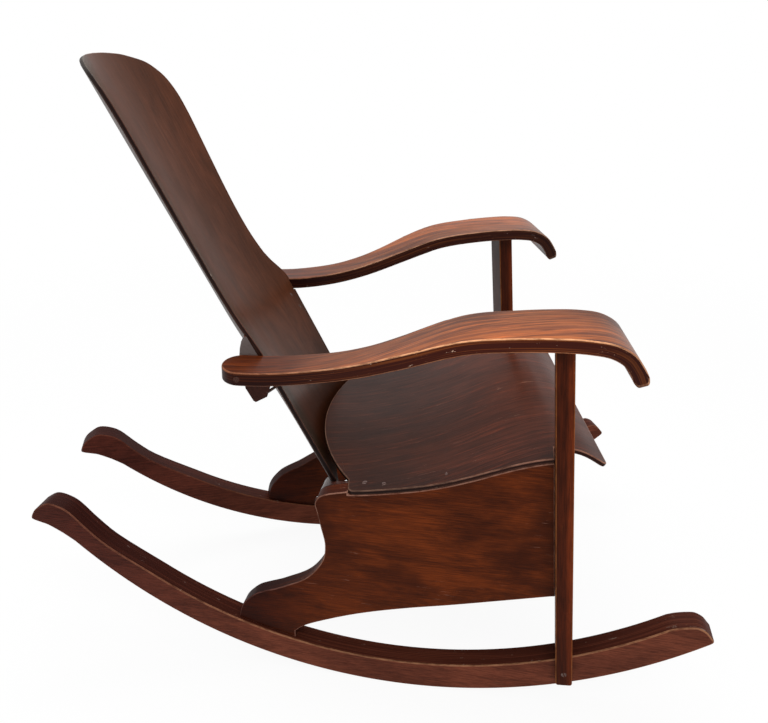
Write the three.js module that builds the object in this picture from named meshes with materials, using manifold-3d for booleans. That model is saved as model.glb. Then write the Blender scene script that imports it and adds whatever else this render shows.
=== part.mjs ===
// A rocking chair of bent and sawn plywood: two rockers, two side panels, two front posts,
// two laminated armrests, a bent seat, a curved back shell and the rails and screws between them.
// Sizes are in millimetres. +X is the chair's front, +Y the sitter's left, +Z is up.
// The origin is on the floor, midway between the rockers' tips.

import * as THREE from 'three';
import { mergeVertices } from 'three/addons/utils/BufferGeometryUtils.js';
import Module from 'manifold-3d';

const wasm = await Module();
wasm.setup();

// Clearances
const fit_gap = 0.3;
const overrun = 60;

// Rockers: sawn boards that toe in toward the rear, so the chair is narrower behind
const rocker_thickness = 33;
const rocker_radius = 700;
const rocker_depth = 42.7;
const rocker_top_radius = 659.5;
const rocker_top_lead = 5;
const rocker_contact = 56;
const rocker_spread = 207;
const toe_degrees = 11;
const rear_reach = 490;
const rear_scroll = 190;
const rear_hook = 65;
const front_reach = 487.2;
const front_scroll = 58.2;
const front_nose = 2.7;

// Side panels
const panel_thickness = 23.5;
const panel_heel = 177;
const panel_length = 454;
const panel_top = 321;

// Front posts
const post_width = 44.5;
const post_depth = 22.7;
const post_reach = 306.1;
const post_lean_degrees = 5;
const post_foot_lift = 5.5;
const post_corner = 4;
const post_corner_share = 0.3;

// Armrests
const arm_thickness = 17.6;
const arm_rear_reach = 164;
const arm_overhang = 39.7;
const arm_rear_height = 507;
const arm_rise = 74.8;
const arm_inner_rear = 160;
const arm_spread = 153;
const arm_plan_rear = 160;
const arm_plan_short = 2.8;
const arm_round_length = 25;
const arm_skew_rear = 0.24;
const arm_skew_front = 0.07;

// Seat
const seat_thickness = 6.5;
const seat_rear_reach = 47;
const seat_overhang = 21.9;
const seat_rear_height = 326.5;
const seat_rise = 79.8;
const seat_rear_radius = 375;
const seat_rear_width = 172;
const seat_corner = 6;

// Back shell: a strip of a cylinder, leaning back
const shell_radius = 315;
const shell_thickness = 5.5;
const shell_length = 673;
const shell_half_width = 165;
const shell_foot_back = 43.2;
const shell_foot_height = 256.2;
const recline_degrees = 25.2;
const shell_flat_depth = 15;
const shell_flat_height = 130;
const shell_round_height = 320;

// Seat rails, arm brackets and corner blocks
const bracket_back = 142.5;
const bracket_foot = 440.5;
const bracket_depth = 60;
const bracket_height = 93;
const bracket_inner = 122;
const seat_rail_depth = 22;
const front_rail_height = 46;
const rear_rail_height = 38;
const front_rail_back = 26;
const rear_rail_forward = 8;
const block_width = 28;
const block_height = 58;
const block_depth = 44;

// Fasteners
const screw_head_radius = 4;
const screw_head_height = 2.4;
const screw_shank_radius = 2;
const seat_screw_length = 20;
const seat_screw_inset = 20.5;
const back_screw_length = 20;
const block_screw_length = 16;
const foot_screw_length = 34;
const arm_screw_length = 76;
const arm_screw_back = 26;
const dowel_radius = 4;
const foot_dowel_length = 34;
const rail_dowel_length = 30;
const arm_dowel_length = 26;

const toe = THREE.MathUtils.degToRad(toe_degrees);
const recline = THREE.MathUtils.degToRad(recline_degrees);
const post_lean = THREE.MathUtils.degToRad(post_lean_degrees);

// Materials
const wood = (color, roughness) => new THREE.MeshStandardMaterial({ color, roughness, metalness: 0 });
const rocker_wood = wood('#4b2119', 0.42);
const panel_wood = wood('#5e2c16', 0.36);
const post_wood = wood('#4f2014', 0.36);
const arm_wood = wood('#7a4227', 0.3);
const seat_wood = wood('#51302a', 0.3);
const back_wood = wood('#50302a', 0.32);
const rail_wood = wood('#3a1d16', 0.5);
const dowel_wood = wood('#a5794c', 0.7);
const screw_steel = new THREE.MeshStandardMaterial({ color: '#8b7f7a', roughness: 0.45, metalness: 0.9 });

const chair = new THREE.Group();

// Solid helpers: geometry to manifold and back, and prisms of flat outlines

function solid(geometry) {
  const plain = geometry.index ? geometry.toNonIndexed() : geometry.clone();
  plain.deleteAttribute('normal');
  plain.deleteAttribute('uv');
  const merged = mergeVertices(plain);
  return new wasm.Manifold(new wasm.Mesh({
    numProp: 3,
    vertProperties: new Float32Array(merged.attributes.position.array),
    triVerts: new Uint32Array(merged.index.array),
  }));
}

function add_piece(name, body, material) {
  const mesh = body.getMesh();
  const geometry = new THREE.BufferGeometry();
  geometry.setAttribute('position', new THREE.BufferAttribute(new Float32Array(mesh.vertProperties), 3));
  geometry.setIndex(new THREE.BufferAttribute(new Uint32Array(mesh.triVerts), 1));
  geometry.computeVertexNormals();
  const piece = new THREE.Mesh(geometry, material);
  piece.name = name;
  chair.add(piece);
}

function prism(points, depth, matrix) {
  const shape = new THREE.Shape(points);
  const geometry = new THREE.ExtrudeGeometry(shape, { depth, bevelEnabled: false });
  return solid(geometry.applyMatrix4(matrix));
}

// An outline drawn in X and Z, extruded along Y from y_low to y_high
function side_prism(points, y_low, y_high) {
  const matrix = new THREE.Matrix4().makeRotationX(Math.PI / 2);
  matrix.premultiply(new THREE.Matrix4().makeTranslation(0, y_high, 0));
  return prism(points, y_high - y_low, matrix);
}

// An outline drawn in X and Y, extruded upward from z_low to z_high
function plan_prism(points, z_low, z_high) {
  return prism(points, z_high - z_low, new THREE.Matrix4().makeTranslation(0, 0, z_low));
}

// Each side stands in an upright plane that is turned by the toe angle. In that plane u runs forward
// and v runs inward from the rocker's outer face. side is -1 for the sitter's right, +1 for the left.
function side_matrix(side) {
  const matrix = new THREE.Matrix4().makeRotationZ(side * toe);
  matrix.premultiply(new THREE.Matrix4().makeTranslation(0, side * rocker_spread, 0));
  return matrix;
}

function side_board(points, v_outer, v_inner, side) {
  const y_low = side < 0 ? v_outer : -v_inner;
  const y_high = side < 0 ? v_inner : -v_outer;
  const matrix = new THREE.Matrix4().makeRotationX(Math.PI / 2);
  matrix.premultiply(new THREE.Matrix4().makeTranslation(0, y_high, 0));
  matrix.premultiply(side_matrix(side));
  return prism(points, y_high - y_low, matrix);
}

function side_point(u, v, z, side) {
  return new THREE.Vector3(u, -side * v, z).applyMatrix4(side_matrix(side));
}

// Half the chair's width at x, on the plane v inward from the rockers' outer faces
function half_width(x, v) {
  return rocker_spread + x * Math.tan(toe) - v / Math.cos(toe);
}

function mirrored(half) {
  const other = half.map((p) => new THREE.Vector2(p.x, -p.y)).reverse();
  return half.concat(other.filter((p) => p.y !== 0));
}

function arc_points(cx, cy, radius, start, end, steps) {
  const points = [];
  for (let i = 0; i <= steps; i += 1) {
    const angle = start + (end - start) * i / steps;
    points.push(new THREE.Vector2(cx + radius * Math.cos(angle), cy + radius * Math.sin(angle)));
  }
  return points;
}

function curve_points(points, steps) {
  return new THREE.SplineCurve(points).getPoints(steps);
}

function shared_points(shares, x, y, width, height) {
  return shares.map(([a, b]) => new THREE.Vector2(x + a * width, y + b * height));
}

// A curve and the same curve moved square to itself by below and above
function thick_strip(points, above, below) {
  const upper = [];
  const lower = [];
  points.forEach((p, i) => {
    const before = points[Math.max(i - 1, 0)];
    const after = points[Math.min(i + 1, points.length - 1)];
    const along = after.clone().sub(before).normalize();
    const normal = new THREE.Vector2(-along.y, along.x);
    upper.push(p.clone().addScaledVector(normal, above));
    lower.push(p.clone().addScaledVector(normal, -below));
  });
  return { upper, lower, outline: lower.concat(upper.reverse()) };
}

// Round parts along an axis: screws, dowels and the holes that take them

function along_axis(geometry, place, direction) {
  const turn = new THREE.Quaternion().setFromUnitVectors(new THREE.Vector3(0, 1, 0), direction);
  return solid(geometry.applyQuaternion(turn).translate(place.x, place.y, place.z));
}

// The head's top is at the place, and the screw runs against the direction
function screw_body(place, direction, length, gap) {
  const head = screw_head_radius + gap;
  const shank = screw_shank_radius + gap;
  const profile = [
    new THREE.Vector2(0, -length - gap),
    new THREE.Vector2(shank, -length - gap),
    new THREE.Vector2(shank, -screw_head_height - gap),
    new THREE.Vector2(head, -gap),
    new THREE.Vector2(head, gap > 0 ? overrun : 0),
    new THREE.Vector2(0, gap > 0 ? overrun : 0),
  ];
  if (gap === 0) profile.splice(3, 1);
  return along_axis(new THREE.LatheGeometry(profile, 12), place, direction);
}

function dowel_body(place, direction, length, gap) {
  const radius = dowel_radius + gap;
  const geometry = new THREE.CylinderGeometry(radius, radius, length + 2 * gap, 12);
  return along_axis(geometry, place, direction);
}

// Rockers: two arcs for the lower and upper edge, and a scroll drawn by curves at each end

const top_centre_z = rocker_depth + rocker_top_radius;
const top_centre_u = rocker_contact - rocker_top_lead;

function rocker_low(u) {
  return rocker_radius - Math.sqrt(rocker_radius ** 2 - (u - rocker_contact) ** 2);
}

function rocker_top(u, gap) {
  const radius = rocker_top_radius - gap;
  return top_centre_z - Math.sqrt(radius ** 2 - (u - top_centre_u) ** 2);
}

function arc_between(centre_u, centre_z, radius, u_start, u_end, steps) {
  const start = -Math.acos((u_start - centre_u) / radius);
  const end = -Math.acos((u_end - centre_u) / radius);
  return arc_points(centre_u, centre_z, radius, start, end, steps);
}

const rear_scroll_shares = [
  [0, 0], [0.36, 0.99], [0.53, 1.66], [0.66, 2.28], [0.753, 2.51], [0.842, 2.57], [0.916, 2.4], [0.968, 2.2],
  [1, 1.92], [0.975, 1.82], [0.916, 1.745], [0.856, 1.66], [0.75, 1.4],
];
const front_scroll_shares = [
  [0, 0], [0.201, 0.115], [0.464, 0.2], [0.629, 0.21], [0.811, 0.087], [0.928, -0.098], [0.979, -0.176],
  [0.997, -0.216], [1, -0.258], [0.99, -0.307],
];

function rocker_outline() {
  const rear_u = rear_scroll - rear_reach;
  const front_u = front_reach - front_scroll;
  const rear_top = shared_points(rear_scroll_shares, rear_u, rocker_top(rear_u, 0), -rear_scroll, rocker_depth);
  const front_top = shared_points(
    front_scroll_shares, front_u, rocker_top(front_u, 0), front_scroll, rocker_depth);
  const low_arc = arc_between(
    rocker_contact, rocker_radius, rocker_radius, rear_hook - rear_reach, front_reach - front_nose, 26);
  const top_arc = arc_between(top_centre_u, top_centre_z, rocker_top_radius, front_u, rear_u, 20);
  return low_arc.concat(
    curve_points([low_arc[low_arc.length - 1], ...front_top.reverse()], 24).slice(1, -1),
    top_arc,
    curve_points(rear_top, 34).slice(1),
  );
}

// Everything below the rocker's upper edge, grown by the gap, for cutting what stands on it
function below_rocker_top(gap) {
  const rear_u = rear_scroll - rear_reach;
  const front_u = front_reach - front_scroll;
  const arc = arc_between(top_centre_u, top_centre_z, rocker_top_radius - gap, rear_u, front_u, 40);
  const first = arc[0];
  const last = arc[arc.length - 1];
  return arc.concat([new THREE.Vector2(last.x, -overrun), new THREE.Vector2(first.x, -overrun)]);
}

// Armrests: a bent profile seen from the side, trimmed to the outline seen from above

const arm_profile_shares = [
  [0, 0.032], [0.0665, 0.017], [0.125, 0.019], [0.2044, 0.064], [0.2829, 0.147], [0.3613, 0.283],
  [0.4398, 0.472], [0.518, 0.679], [0.559, 0.779], [0.5967, 0.853], [0.6375, 0.904], [0.6787, 0.936],
  [0.7532, 0.979], [0.8219, 0.999], [0.8709, 0.995], [0.92, 0.949], [0.9596, 0.809], [0.9827, 0.607],
  [0.9931, 0.468], [1, 0.354],
];
const arm_outer_shares = [
  [0.05, 0.382], [0.159, 0.41], [0.239, 0.434], [0.318, 0.488], [0.398, 0.561], [0.477, 0.652], [0.557, 0.722],
  [0.636, 0.774], [0.716, 0.82], [0.795, 0.867], [0.875, 0.918], [1, 1],
];
const arm_inner_shares = [
  [0.05, 0.013], [0.159, 0.035], [0.239, 0.065], [0.318, 0.108], [0.398, 0.142], [0.477, 0.157], [0.557, 0.16],
  [0.636, 0.17], [0.716, 0.202], [0.795, 0.222], [0.875, 0.238], [1.02, 0.265],
];
const arm_tip_reach = post_reach + arm_overhang;
const arm_length = arm_rear_reach + arm_tip_reach;
const arm_plan_length = arm_plan_rear + arm_tip_reach - arm_plan_short;
const arm_top_line = curve_points(
  shared_points(arm_profile_shares, -arm_rear_reach, arm_rear_height, arm_length, arm_rise), 57);
const arm_outer_line = curve_points(
  shared_points(arm_outer_shares, -arm_plan_rear, arm_inner_rear, arm_plan_length, arm_spread), 22);
const arm_inner_line = curve_points(
  shared_points(arm_inner_shares, -arm_plan_rear, arm_inner_rear, arm_plan_length, arm_spread), 22);

// The height of a line of points at x, carried on straight beyond its ends
function line_at(line, x) {
  const found = line.findIndex((p) => p.x >= x);
  const index = found < 0 ? line.length - 1 : Math.max(found, 1);
  const a = line[index - 1];
  const b = line[index];
  return a.y + (x - a.x) / (b.x - a.x) * (b.y - a.y);
}

// The arm seen from above: its two edges, a round end behind and the open end in front
function arm_plan(side, grow) {
  const inner_start = arm_inner_line[0];
  const outer_start = arm_outer_line[0];
  const middle = (inner_start.y + outer_start.y) / 2;
  const half = (outer_start.y - inner_start.y) / 2 + grow;
  const round = [];
  for (let i = 0; i <= 12; i += 1) {
    const angle = Math.PI * (0.5 + i / 12);
    const x = inner_start.x + (arm_round_length + grow) * Math.cos(angle);
    round.push(new THREE.Vector2(x, middle + half * Math.sin(angle)));
  }
  const inner = arm_inner_line.slice(1).map((p) => new THREE.Vector2(p.x, p.y - grow));
  const outer = arm_outer_line.slice(1).map((p) => new THREE.Vector2(p.x, p.y + grow)).reverse();
  return [...round, ...inner, ...outer].map((p) => new THREE.Vector2(p.x, p.y * side));
}

function arm_top_at(x) {
  return line_at(arm_top_line, x);
}

// The board is bent across lines that turn forward toward the chair's middle, more so behind
function arm_body(side, gap) {
  const strip = thick_strip(arm_top_line, gap, arm_thickness + gap);
  const depth = arm_spread + overrun;
  const matrix = new THREE.Matrix4().makeRotationX(Math.PI / 2);
  const low = side < 0 ? -depth - arm_inner_rear + overrun / 2 : arm_inner_rear - overrun / 2;
  matrix.premultiply(new THREE.Matrix4().makeTranslation(0, low + depth, 0));
  const geometry = new THREE.ExtrudeGeometry(new THREE.Shape(strip.outline), { depth, bevelEnabled: false });
  geometry.applyMatrix4(matrix);
  const position = geometry.attributes.position;
  for (let i = 0; i < position.count; i += 1) {
    const share = (position.getX(i) + arm_rear_reach) / arm_length;
    const skew = arm_skew_rear + share * (arm_skew_front - arm_skew_rear);
    position.setX(i, position.getX(i) + skew * (rocker_spread - Math.abs(position.getY(i))));
  }
  const tall = arm_rear_height + arm_rise + overrun;
  return solid(geometry).intersect(plan_prism(arm_plan(side, gap), 0, tall));
}

// Seat: a bent profile trimmed to a plan that follows the side panels and passes between the posts

const seat_profile_shares = [
  [0, -0.01], [0.1068, 0], [0.188, 0.05], [0.3215, 0.175], [0.4313, 0.318], [0.5332, 0.5], [0.6114, 0.662],
  [0.6945, 0.825], [0.7826, 0.955], [0.8449, 0.997], [0.8829, 0.98], [0.9173, 0.946], [0.948, 0.885], [0.9757, 0.808],
  [1, 0.741],
];
const seat_front_reach = post_reach + seat_overhang;
const seat_length = seat_rear_reach + seat_front_reach;
const seat_top_line = curve_points(
  shared_points(seat_profile_shares, -seat_rear_reach, seat_rear_height, seat_length, seat_rise), 42);
const seat_strip = thick_strip(seat_top_line, 0, seat_thickness);

function seat_top_at(x) {
  return line_at(seat_top_line, x);
}

function seat_slope_at(x) {
  return Math.atan2(seat_top_at(x + fit_gap) - seat_top_at(x - fit_gap), 2 * fit_gap);
}

const panel_inset = (rocker_thickness - panel_thickness) / 2;
const panel_inner = panel_inset + panel_thickness;
const post_proud = post_width - rocker_thickness;

// The post's rear face in its side's plane, at height z
function post_rear(z) {
  return post_reach - post_depth / 2 / Math.cos(post_lean) - z * Math.tan(post_lean);
}

const seat_arc_end = Math.asin(seat_rear_width / seat_rear_radius);
const seat_arc_centre = seat_rear_radius - seat_rear_reach;
const seat_rear_x = seat_arc_centre - seat_rear_radius * Math.cos(seat_arc_end);

function seat_half_plan() {
  const rear = arc_points(seat_arc_centre, 0, seat_rear_radius, Math.PI, Math.PI - seat_arc_end, 10);
  const rear_x = seat_rear_x;
  const edge_x = rear_x + seat_corner;
  const notch_u = post_rear(seat_top_at(post_rear(seat_rear_height))) - 2 * fit_gap;
  const inner_v = rocker_thickness + fit_gap;
  const notch = [panel_inset, inner_v].map((v) => notch_u * Math.cos(toe) + v * Math.sin(toe));
  const front = seat_front_reach;
  return rear.concat([
    new THREE.Vector2(rear_x, half_width(rear_x, panel_inset) - seat_corner),
    new THREE.Vector2(edge_x, half_width(edge_x, panel_inset)),
    new THREE.Vector2(notch[0], half_width(notch[0], panel_inset)),
    new THREE.Vector2(notch[1], half_width(notch[1], inner_v)),
    new THREE.Vector2(front - seat_corner, half_width(front - seat_corner, inner_v)),
    new THREE.Vector2(front, half_width(front, inner_v) - seat_corner),
  ]);
}

// The space from just under the seat upward, as wide as asked, for trimming what carries it
function above_seat_bottom(wide) {
  const line = thick_strip(seat_top_line, 0, seat_thickness + fit_gap).lower;
  const first = line[0];
  const last = line[line.length - 1];
  const high = seat_rear_height + seat_rise + overrun;
  return side_prism([...line, new THREE.Vector2(last.x + overrun, last.y),
    new THREE.Vector2(last.x + overrun, high), new THREE.Vector2(first.x, high)], -wide, wide);
}

// The same space, but only ahead of the seat's rear corners
function above_seat_sides() {
  const wide = rocker_spread + overrun;
  const front = seat_front_reach + overrun;
  const behind = [-wide, wide].map((y) => new THREE.Vector2(seat_rear_x - fit_gap, y));
  const ahead = [wide, -wide].map((y) => new THREE.Vector2(front, y));
  const high = seat_rear_height + seat_rise + overrun;
  return above_seat_bottom(wide).intersect(plan_prism([...behind, ...ahead], 0, high));
}

// Side panels: an upright board with a rounded nose behind, a hollowed rear edge, a foot on the rocker
// and an arched lower edge. Points are shares of the length heel to post and of the height to the seat.

const panel_rear_shares = [
  [0.407, 1.014], [0.376, 1.011], [0.346, 1.002], [0.31, 0.988], [0.286, 0.969], [0.273, 0.935], [0.279, 0.891],
  [0.289, 0.814], [0.2996, 0.735], [0.296, 0.664], [0.281, 0.615], [0.258, 0.568], [0.236, 0.536],
  [0.209, 0.509], [0.173, 0.482], [0.137, 0.456], [0.095, 0.432], [0.063, 0.41], [0.038, 0.379], [0.02, 0.349],
  [0.008, 0.315], [0.001, 0.276],
];
const panel_arch_shares = [
  [0.189, 0.219], [0.233, 0.267], [0.346, 0.338], [0.446, 0.388], [0.568, 0.437], [0.719, 0.49], [1.03, 0.608],
];

function panel_outline() {
  const rear = shared_points(panel_rear_shares, -panel_heel, 0, panel_length, panel_top);
  const arch = shared_points(panel_arch_shares, -panel_heel, 0, panel_length, panel_top);
  const foot_rear = new THREE.Vector2(-panel_heel, 0);
  const foot_front = new THREE.Vector2(arch[0].x, 0);
  const front_u = post_reach + post_depth;
  const high = seat_rear_height + seat_rise + overrun;
  return [
    ...curve_points(rear, 63), foot_rear, foot_front, ...curve_points(arch, 22),
    new THREE.Vector2(front_u, arch[arch.length - 1].y), new THREE.Vector2(front_u, high),
    new THREE.Vector2(rear[0].x, high),
  ];
}

// Front posts: straight bars that lean back, lapped over the rocker's outer face, with an eased foot

function post_outline(gap) {
  const half = post_depth / 2 + gap;
  const top = arm_rear_height + arm_rise - arm_thickness / 2 + gap;
  const foot = rocker_low(post_reach) + post_foot_lift - gap;
  const along = new THREE.Vector2(-Math.sin(post_lean), Math.cos(post_lean));
  const across = new THREE.Vector2(Math.cos(post_lean), Math.sin(post_lean));
  const origin = new THREE.Vector2(post_reach, 0);
  const at = (a, b) => origin.clone().addScaledVector(across, a).addScaledVector(along, b);
  const low = foot / Math.cos(post_lean);
  return [
    at(-half, low + post_corner), at(-half + post_corner * post_corner_share, low + post_corner * post_corner_share),
    at(-half + post_corner, low), at(half - post_corner, low),
    at(half - post_corner * post_corner_share, low + post_corner * post_corner_share), at(half, low + post_corner),
    at(half, top / Math.cos(post_lean)), at(-half, top / Math.cos(post_lean)),
  ];
}

// Back shell: a sector of a thick tube whose axis leans back, trimmed to the outline seen from the front

const shell_outline_shares = [
  [1, 0], [1, 0.379], [0.988, 0.398], [0.964, 0.416], [0.933, 0.434], [0.903, 0.452], [0.867, 0.484],
  [0.839, 0.536], [0.833, 0.594], [0.842, 0.654], [0.858, 0.713], [0.876, 0.773], [0.89, 0.826],
  [0.888, 0.875], [0.852, 0.915], [0.779, 0.944], [0.691, 0.963], [0.521, 0.982], [0.39, 0.991], [0.194, 0.998],
  [0, 1],
];
const shell_axis_up = new THREE.Vector3(-Math.sin(recline), 0, Math.cos(recline));
const shell_forward = new THREE.Vector3(Math.cos(recline), 0, Math.sin(recline));
const shell_foot = new THREE.Vector3(-shell_foot_back, 0, shell_foot_height);

// A frame whose X runs forward out of the shell, Y to the sitter's left and Z up along the shell
function shell_matrix() {
  const matrix = new THREE.Matrix4().makeBasis(shell_forward, new THREE.Vector3(0, 1, 0), shell_axis_up);
  return matrix.setPosition(shell_foot);
}

// The shell's lower half is flatter: its middle is pushed forward, and its edges stay where they are
function shell_push(y, along) {
  const lower = 1 - THREE.MathUtils.smoothstep(along, shell_flat_height, shell_round_height);
  const across = Math.max(0, 1 - (y / shell_half_width) ** 2);
  return shell_flat_depth * lower * across;
}

// A point on the shell's front face, at y across and a height along the shell
function shell_point(y, along) {
  const angle = Math.asin(y / shell_radius);
  const forward = shell_radius - shell_radius * Math.cos(angle) + shell_push(y, along);
  return new THREE.Vector3(forward, y, along).applyMatrix4(shell_matrix());
}

function shell_normal(y) {
  const angle = Math.asin(y / shell_radius);
  return new THREE.Vector3(Math.cos(angle), -Math.sin(angle), 0).transformDirection(shell_matrix());
}

// An outline drawn across the shell, extruded along it in steps and pushed forward below
function shell_prism(points, low, high, steps) {
  const geometry = new THREE.ExtrudeGeometry(
    new THREE.Shape(points), { depth: high - low, bevelEnabled: false, steps });
  const position = geometry.attributes.position;
  for (let i = 0; i < position.count; i += 1) {
    const along = position.getZ(i) + low;
    position.setXYZ(
      i, position.getX(i) + shell_push(position.getY(i), along), position.getY(i), along);
  }
  return solid(geometry.applyMatrix4(shell_matrix()));
}

function tube_sector(inner, outer, low, high, half_angle) {
  const rear = arc_points(shell_radius, 0, outer, Math.PI - half_angle, Math.PI + half_angle, 32);
  const front = arc_points(shell_radius, 0, inner, Math.PI + half_angle, Math.PI - half_angle, 32);
  return shell_prism(rear.concat(front), low, high, 16);
}

const shell_half_angle = Math.asin(shell_half_width / shell_radius);

function shell_body() {
  const tube = tube_sector(
    shell_radius, shell_radius + shell_thickness, 0, shell_length, shell_half_angle + toe / 2);
  const half = shared_points(shell_outline_shares.slice(1), 0, 0, shell_half_width, shell_length);
  const right = [new THREE.Vector2(shell_half_width, 0), ...curve_points(half, 54)];
  const left = right.map((p) => new THREE.Vector2(-p.x, p.y)).reverse().slice(1);
  const outline = right.concat(left);
  const matrix = new THREE.Matrix4().makeBasis(
    new THREE.Vector3(0, 1, 0), shell_axis_up, shell_forward);
  matrix.setPosition(shell_foot.clone().addScaledVector(shell_forward, -overrun));
  return tube.intersect(prism(outline, shell_radius, matrix));
}

// The space in front of the shell's rear face, for hollowing the brackets and corner blocks
function shell_hollow() {
  const reach = shell_radius + shell_thickness + fit_gap;
  const disc = arc_points(shell_radius, 0, reach, Math.PI / 2, Math.PI * 1.5, 60);
  return shell_prism(disc, -overrun, shell_length, 16);
}

// Arm brackets: blocks between the arms' inner edges and the shell's rear face, hollowed to fit the shell

const bracket_shares = [
  [1, 0.75], [0.63, 0.26], [0.54, 0.09], [0.28, 0], [0.23, 0.02], [0.075, 0.215], [0.01, 0.55], [0, 0.73],
  [0.02, 0.83], [0.06, 0.93], [0.12, 1], [1, 1],
];

function bracket_body(side, hollow) {
  const outline = shared_points(bracket_shares, -bracket_back, bracket_foot, bracket_depth, bracket_height);
  const reach = arm_inner_rear + overrun;
  const bar = side_prism(outline, -reach, reach);
  const rear_x = -bracket_back - overrun;
  const front_x = bracket_depth - bracket_back;
  const plan = [
    new THREE.Vector2(rear_x, bracket_inner), new THREE.Vector2(front_x, bracket_inner),
    new THREE.Vector2(front_x, line_at(arm_inner_line, front_x) - fit_gap),
    new THREE.Vector2(rear_x, line_at(arm_inner_line, rear_x) - fit_gap),
  ].map((p) => new THREE.Vector2(p.x, p.y * side));
  return bar.intersect(plan_prism(plan, 0, bracket_foot + bracket_height + overrun)).subtract(hollow);
}

// Seat rails: straight bars between the panels, cut to the seat's underside and the panels' inner faces

function seat_rail_body(rear_x, height) {
  const front_x = rear_x + seat_rail_depth;
  const v = panel_inner + fit_gap;
  const plan = [
    new THREE.Vector2(rear_x, half_width(rear_x, v)), new THREE.Vector2(rear_x, -half_width(rear_x, v)),
    new THREE.Vector2(front_x, -half_width(front_x, v)), new THREE.Vector2(front_x, half_width(front_x, v)),
  ];
  const low = seat_top_at(rear_x) - seat_thickness - height;
  return plan_prism(plan, low, low + height + overrun).subtract(above_seat_sides());
}

// Corner blocks: fixed inside the panels' noses, they follow the nose and take the shell's lower corners

function block_body(side) {
  const rear = shared_points(panel_rear_shares, -panel_heel, 0, panel_length, panel_top);
  const low = panel_top - block_height;
  const nose = curve_points(rear, 63).filter((p) => p.y > low);
  const front_u = nose.reduce((least, p) => Math.min(least, p.x), 0) + block_depth;
  const outline = nose.filter((p) => p.x < front_u).concat([
    new THREE.Vector2(nose[nose.length - 1].x, low), new THREE.Vector2(front_u, low),
    new THREE.Vector2(front_u, nose[0].y),
  ]);
  const inner = panel_inner + fit_gap;
  return side_board(outline, inner, inner + block_width, side).subtract(shell_room)
    .subtract(seat_room).subtract(seat_cut);
}

// Places of the screws and dowels

const seat_screw_shares = [[0.067, 1], [0.163, 0.7], [0.489, 1], [0.889, 1]];
const back_screw_shares = [[0.9, 0.347], [0.924, 0.309]];
const block_screw_rise_share = 0.035;
const foot_dowel_shares = [0.035, 0.14];
const rail_dowel_shares = [0.2, 0.5];

function seat_screws(side) {
  const panel_end = post_rear(seat_rear_height) * Math.cos(toe);
  return seat_screw_shares.map(([share, inset_share]) => {
    const x = share * panel_end;
    const inset = inset_share * seat_screw_inset;
    const slope = seat_slope_at(x);
    return {
      place: new THREE.Vector3(x, side * (half_width(x, panel_inset) - inset), seat_top_at(x)),
      direction: new THREE.Vector3(-Math.sin(slope), 0, Math.cos(slope)),
      length: seat_screw_length,
    };
  });
}

function back_screws(side) {
  return back_screw_shares.map(([across, up]) => ({
    place: shell_point(side * across * shell_half_width, up * shell_length),
    direction: shell_normal(side * across * shell_half_width),
    length: back_screw_length,
  }));
}

function block_screw(side) {
  const y = side * (shell_half_width - block_width / 2);
  return {
    place: shell_point(y, block_screw_rise_share * shell_length),
    direction: shell_normal(y),
    length: block_screw_length,
  };
}

function foot_screw(side) {
  const z = rocker_low(post_reach) + rocker_depth / 2 + post_corner;
  const u = post_reach - z * Math.tan(post_lean);
  const outward = new THREE.Vector3(0, side, 0).transformDirection(side_matrix(side));
  return { place: side_point(u, -post_proud, z, side), direction: outward, length: foot_screw_length };
}

// Runs in through the arm's outer edge and on into the bracket
function arm_screw(side) {
  const x = arm_screw_back - arm_rear_reach;
  const z = arm_top_at(x) - arm_thickness / 2;
  return {
    place: new THREE.Vector3(x, side * (line_at(arm_outer_line, x) + fit_gap), z),
    direction: new THREE.Vector3(0, side, 0),
    length: arm_screw_length,
  };
}

function foot_dowels(side) {
  return foot_dowel_shares.map((share) => {
    const u = share * panel_length - panel_heel;
    const z = rocker_top(u, 0);
    const direction = new THREE.Vector3(top_centre_u - u, 0, rocker_radius - z).normalize();
    const turned = direction.transformDirection(side_matrix(side));
    const place = side_point(u, rocker_thickness / 2, z, side);
    return { place, direction: turned, length: foot_dowel_length };
  });
}

function arm_dowel(side) {
  const u = post_reach - (arm_rear_height + arm_rise) * Math.tan(post_lean);
  const spot = side_point(u, rocker_thickness - post_width / 2, 0, side);
  const top = arm_top_at(spot.x) - arm_thickness;
  const z = top - arm_dowel_length / 2 + arm_thickness / 2;
  return {
    place: new THREE.Vector3(spot.x, spot.y, z),
    direction: new THREE.Vector3(0, 0, 1),
    length: arm_dowel_length,
  };
}

function rail_dowels(side, rear_x, height) {
  const x = rear_x + seat_rail_depth / 2;
  const low = seat_top_at(rear_x) - seat_thickness - height;
  const outward = new THREE.Vector3(0, side, 0).transformDirection(side_matrix(side));
  const spot = side_point(x / Math.cos(toe), panel_inner, 0, side);
  return rail_dowel_shares.map((share) => ({
    place: new THREE.Vector3(spot.x, spot.y, low + share * height),
    direction: outward,
    length: rail_dowel_length,
  }));
}

function drilled(body, screws, dowels) {
  let result = body;
  screws.forEach((s) => {
    result = result.subtract(screw_body(s.place, s.direction, s.length, fit_gap));
  });
  dowels.forEach((d) => {
    result = result.subtract(dowel_body(d.place, d.direction, d.length, fit_gap));
  });
  return result;
}

function add_screw(name, s) {
  add_piece(name, screw_body(s.place, s.direction, s.length, 0), screw_steel);
}

function add_dowel(name, d) {
  add_piece(name, dowel_body(d.place, d.direction, d.length, 0), dowel_wood);
}

// The chair, side by side and then across

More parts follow.
